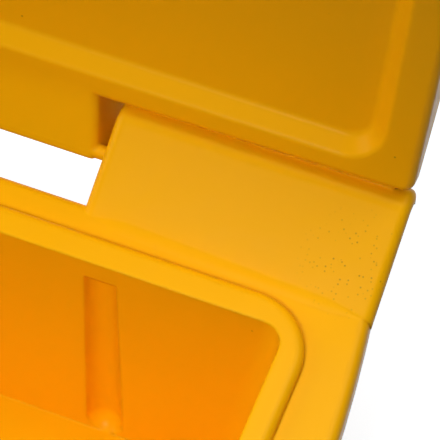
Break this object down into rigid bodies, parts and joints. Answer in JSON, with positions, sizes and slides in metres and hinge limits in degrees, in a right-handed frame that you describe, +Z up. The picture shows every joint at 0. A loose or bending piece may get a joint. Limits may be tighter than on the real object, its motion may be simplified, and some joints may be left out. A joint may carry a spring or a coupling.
{
  "type": "grit salt bin",
  "caption": "Moulded plastic grit bin with a raised lip, corner hinge ears, a hollow lid held open on its rod hinge, and a hasp and staple.",
  "frame": {"origin": "on the ground, at the middle of the flat land under the base, below the middle of the opening's lip", "axes": "+Z up, +Y towards the hinge side, +X towards the right side as seen from the front"},
  "size_m": [1.014, 0.9211, 1.0218],
  "materials": {
    "yellow_plastic": "glossy",
    "black_nylon": "satin",
    "zinc_steel": "satin"
  },
  "bodies": {
    "bin": {"tub": "yellow_plastic", "hinge_rod": "zinc_steel", "inner_bush_left": "black_nylon", "inner_bush_right": "black_nylon", "outer_bush_left": "black_nylon", "outer_bush_right": "black_nylon", "rod_washer_left": "zinc_steel", "rod_washer_right": "zinc_steel", "rod_cap_left": "zinc_steel", "rod_cap_right": "zinc_steel", "hasp_plate": "zinc_steel", "hasp_pin": "zinc_steel", "hasp_bolts": "zinc_steel", "hasp_washers": "zinc_steel", "hasp_nuts": "zinc_steel"},
    "lid": {"lid": "yellow_plastic", "staple": "zinc_steel", "staple_rivets": "zinc_steel"},
    "strap": {"hasp_strap": "zinc_steel"}
  },
  "joints": [
    {"name": "lid_hinge", "type": "hinge", "parent": "bin", "child": "lid", "pos_m": [0, 0.35145, 0.3745], "axis": [1, 0, 0], "range_deg": [0, 108]},
    {"name": "strap_hinge", "type": "hinge", "parent": "bin", "child": "strap", "pos_m": [0, -0.31675, 0.3305], "axis": [-1, 0, 0], "range_deg": [0, 180]}
  ]
}
